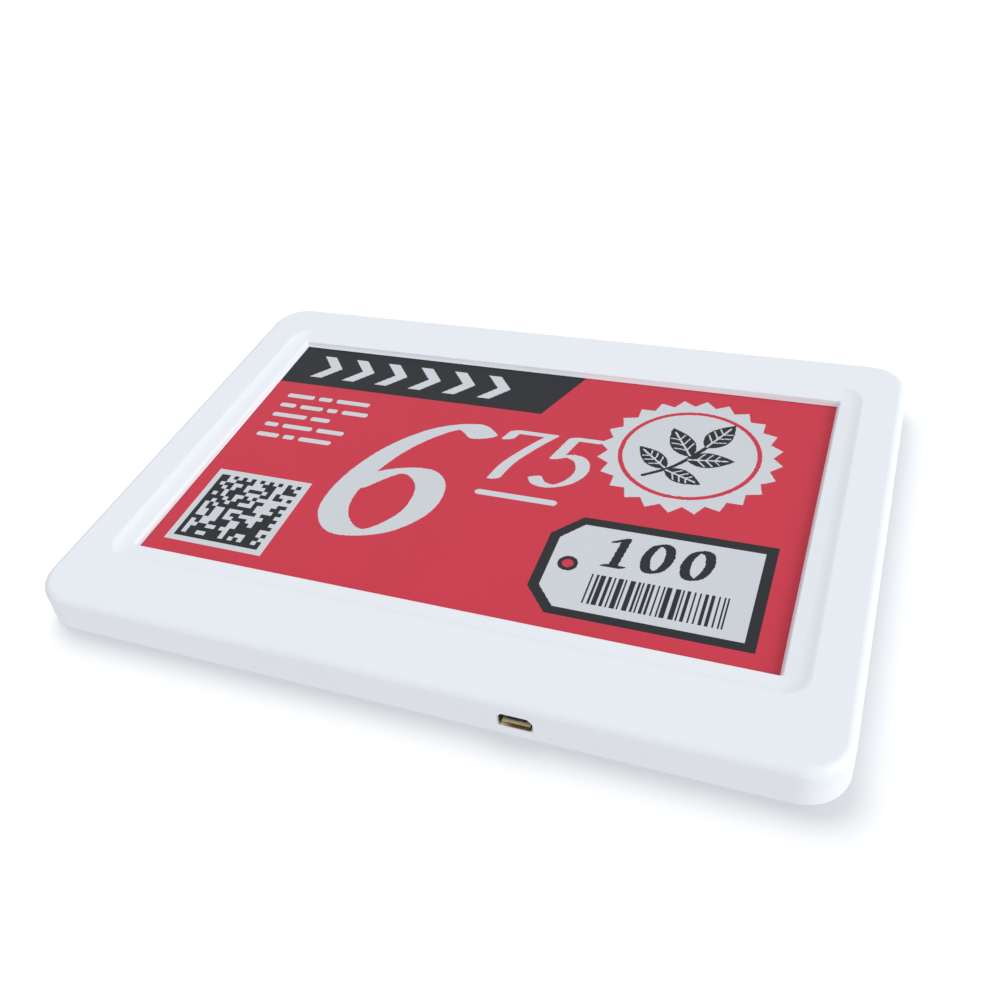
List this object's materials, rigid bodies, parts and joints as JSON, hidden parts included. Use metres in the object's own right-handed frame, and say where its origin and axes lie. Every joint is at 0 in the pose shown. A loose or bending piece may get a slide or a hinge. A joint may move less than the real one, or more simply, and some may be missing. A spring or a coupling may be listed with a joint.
{
  "type": "electronic shelf label",
  "caption": "Flat slab-shaped electronic shelf label with a large paper-like display in a dished bezel, charging socket, rear button and keyhole slots.",
  "frame": {"origin": "centre of the resting back face", "axes": "+X along the long side, +Y towards the top edge of the display, +Z out of the display; the label lies on its back"},
  "size_m": [0.1976, 0.1412, 0.0106],
  "materials": {
    "white_case": "satin moulded white plastic",
    "steel_screw": "zinc plated",
    "foam": "dark closed-cell foam",
    "cover_film": "anti-glare film over the printed-like screen image",
    "ink_film": "paper-like ink film",
    "display_glass": "thin clear glass",
    "silicon": "polished dark silicon",
    "polyimide": "amber polyimide",
    "dark_plastic": "moulded dark plastic",
    "black_sheet": "thin black polyester sheet",
    "board_green": "solder mask on glass-fibre board",
    "cream_plastic": "moulded connector plastic",
    "gold_contact": "gold plated",
    "tin_steel": "tin plated steel",
    "ferrite": "ferrite and lacquer",
    "chip_epoxy": "moulded epoxy",
    "ceramic_tan": "ceramic with tinned ends",
    "plunger_red": "moulded plastic",
    "button_grey": "moulded plastic",
    "pouch_foil": "laminated foil pouch",
    "amber_tape": "amber tape",
    "white_tape": "double-sided tape",
    "red_lead": "silicone insulation",
    "black_lead": "silicone insulation"
  },
  "bodies": {
    "case": {"front_cover": "white_case", "rear_cover": "white_case", "cover_screws": "steel_screw", "display_gasket": "foam", "display_cover_film": "cover_film", "epaper_film": "ink_film", "display_glass": "display_glass", "display_driver_ic": "silicon", "display_flex": "polyimide", "display_retainer": "dark_plastic", "retainer_screws": "steel_screw", "insulation_sheet": "black_sheet", "main_pcb": "board_green", "pcb_screws": "steel_screw", "flex_socket_body": "cream_plastic", "flex_socket_contacts": "gold_contact", "usb_shell": "gold_contact", "usb_insulator": "chip_epoxy", "usb_contacts": "gold_contact", "radio_board": "board_green", "radio_shield": "tin_steel", "radio_antenna": "gold_contact", "power_inductor": "ferrite", "chip_packages": "chip_epoxy", "chip_leads": "tin_steel", "chip_capacitors": "ceramic_tan", "chip_resistors": "chip_epoxy", "power_diodes": "chip_epoxy", "clock_crystal": "tin_steel", "switch_body": "chip_epoxy", "switch_cover": "tin_steel", "battery_cell": "pouch_foil", "battery_board": "board_green", "battery_end_tape": "amber_tape", "battery_adhesive": "white_tape", "battery_pad": "foam", "battery_lead_red": "red_lead", "battery_lead_black": "black_lead", "battery_plug": "cream_plastic", "battery_socket": "cream_plastic"},
    "button": {"rear_button": "button_grey"},
    "plunger": {"switch_plunger": "plunger_red"},
    "latch": {"flex_socket_latch": "dark_plastic"}
  },
  "joints": [
    {"name": "rear_button_press", "type": "slide", "parent": "case", "child": "button", "axis": [0, 0, 1], "range_m": [0, 0.00025], "stiffness_N_per_m": 300, "springref_m": -0.001},
    {"name": "switch_plunger_press", "type": "slide", "parent": "case", "child": "plunger", "axis": [0, 0, 1], "range_m": [0, 0.00025]},
    {"name": "flex_latch_flip", "type": "hinge", "parent": "case", "child": "latch", "pos_m": [0, -0.0456, 0.00493], "axis": [1, 0, 0], "range_deg": [0, 90]}
  ],
  "couplings": [
    {"joint": "switch_plunger_press", "follows": "rear_button_press", "ratio": 1}
  ]
}
